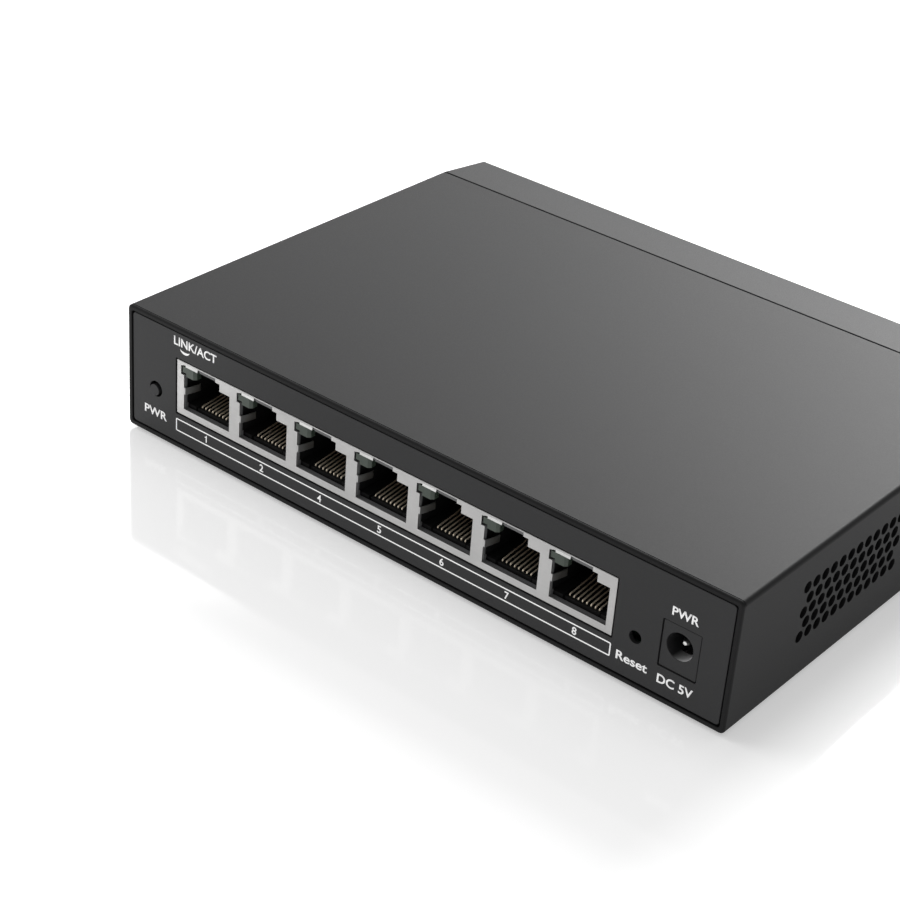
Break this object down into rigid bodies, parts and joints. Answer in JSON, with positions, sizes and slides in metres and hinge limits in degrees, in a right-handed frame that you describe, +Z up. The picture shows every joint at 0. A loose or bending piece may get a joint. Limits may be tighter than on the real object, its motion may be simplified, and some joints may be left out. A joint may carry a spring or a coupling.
{
  "type": "desktop network switch",
  "caption": "Flat dark metal desktop network switch with a row of modular data ports, link lights, a pin-hole reset and a round power inlet on the front.",
  "frame": {"origin": "on the desk, under the middle of the case", "axes": "+X to the right seen from the port side, +Y from the ports to the back, +Z up"},
  "size_m": [0.14, 0.1076, 0.0268],
  "materials": {
    "case_paint": "satin dark grey fine-texture coating",
    "panel_paint": "matt dark grey coating",
    "tinned_steel": "satin tinned sheet",
    "zinc_steel": "zinc plated",
    "port_plastic": "matt black moulding",
    "gold_contact": "gold plated spring wire",
    "light_guide": "clear grey-green moulding",
    "smoked_lens": "smoked diffusing moulding",
    "rubber": "matt",
    "board_green": "green solder mask",
    "chip_plastic": "matt moulding",
    "led_plastic": "milky moulding",
    "plain_aluminium": "plain",
    "button_plastic": "matt moulding"
  },
  "bodies": {
    "case": {"case_sleeve": "case_paint", "rear_cover": "case_paint", "front_panel": "panel_paint", "board_tray": "zinc_steel", "board_screw_1": "zinc_steel", "board_screw_2": "zinc_steel", "board_screw_3": "zinc_steel", "board_screw_4": "zinc_steel", "base_screw_1": "zinc_steel", "base_screw_2": "zinc_steel", "rear_screw_1": "zinc_steel", "rear_screw_2": "zinc_steel", "foot_1": "rubber", "foot_2": "rubber", "foot_3": "rubber", "foot_4": "rubber", "port_shield": "tinned_steel", "dc_jack_pin": "tinned_steel", "crystal": "tinned_steel", "port_housing": "port_plastic", "dc_jack_body": "port_plastic", "link_light_pipe_1": "light_guide", "link_light_pipe_2": "light_guide", "link_light_pipe_3": "light_guide", "link_light_pipe_4": "light_guide", "link_light_pipe_5": "light_guide", "link_light_pipe_6": "light_guide", "link_light_pipe_7": "light_guide", "link_led_1": "led_plastic", "link_led_2": "led_plastic", "link_led_3": "led_plastic", "link_led_4": "led_plastic", "link_led_5": "led_plastic", "link_led_6": "led_plastic", "link_led_7": "led_plastic", "power_led": "smoked_lens", "power_led_holder": "chip_plastic", "reset_switch_body": "chip_plastic", "switch_chip": "chip_plastic", "transformer_1": "chip_plastic", "transformer_2": "chip_plastic", "transformer_3": "chip_plastic", "transformer_4": "chip_plastic", "inductor": "chip_plastic", "flash_chip": "chip_plastic", "voltage_regulator": "chip_plastic", "circuit_board": "board_green", "heat_sink": "plain_aluminium", "capacitor_1": "plain_aluminium", "capacitor_2": "plain_aluminium"},
    "reset_button": {"reset_button": "button_plastic"},
    "jack_spring": {"dc_jack_spring": "tinned_steel"},
    "contacts_1": {"contact_set_1": "gold_contact"},
    "contacts_2": {"contact_set_2": "gold_contact"},
    "contacts_3": {"contact_set_3": "gold_contact"},
    "contacts_4": {"contact_set_4": "gold_contact"},
    "contacts_5": {"contact_set_5": "gold_contact"},
    "contacts_6": {"contact_set_6": "gold_contact"},
    "contacts_7": {"contact_set_7": "gold_contact"}
  },
  "joints": [
    {"name": "reset_press", "type": "slide", "parent": "case", "child": "reset_button", "axis": [0, 1, 0], "range_m": [0, 0.0003], "stiffness_N_per_m": 5000},
    {"name": "contact_flex_1", "type": "hinge", "parent": "case", "child": "contacts_1", "pos_m": [-0.04895, -0.05165, 0.0099], "axis": [-1, 0, 0], "range_deg": [0, 8], "stiffness_Nm_per_rad": 0.5},
    {"name": "contact_flex_2", "type": "hinge", "parent": "case", "child": "contacts_2", "pos_m": [-0.03431, -0.05165, 0.0099], "axis": [-1, 0, 0], "range_deg": [0, 8], "stiffness_Nm_per_rad": 0.5},
    {"name": "contact_flex_3", "type": "hinge", "parent": "case", "child": "contacts_3", "pos_m": [-0.01968, -0.05165, 0.0099], "axis": [-1, 0, 0], "range_deg": [0, 8], "stiffness_Nm_per_rad": 0.5},
    {"name": "contact_flex_4", "type": "hinge", "parent": "case", "child": "contacts_4", "pos_m": [-0.00505, -0.05165, 0.0099], "axis": [-1, 0, 0], "range_deg": [0, 8], "stiffness_Nm_per_rad": 0.5},
    {"name": "contact_flex_5", "type": "hinge", "parent": "case", "child": "contacts_5", "pos_m": [0.00959, -0.05165, 0.0099], "axis": [-1, 0, 0], "range_deg": [0, 8], "stiffness_Nm_per_rad": 0.5},
    {"name": "contact_flex_6", "type": "hinge", "parent": "case", "child": "contacts_6", "pos_m": [0.02423, -0.05165, 0.0099], "axis": [-1, 0, 0], "range_deg": [0, 8], "stiffness_Nm_per_rad": 0.5},
    {"name": "contact_flex_7", "type": "hinge", "parent": "case", "child": "contacts_7", "pos_m": [0.03886, -0.05165, 0.0099], "axis": [-1, 0, 0], "range_deg": [0, 8], "stiffness_Nm_per_rad": 0.5},
    {"name": "jack_spring_flex", "type": "hinge", "parent": "case", "child": "jack_spring", "pos_m": [0.05942, -0.04285, 0.00965], "axis": [1, 0, 0], "range_deg": [0, 5], "stiffness_Nm_per_rad": 0.13}
  ]
}
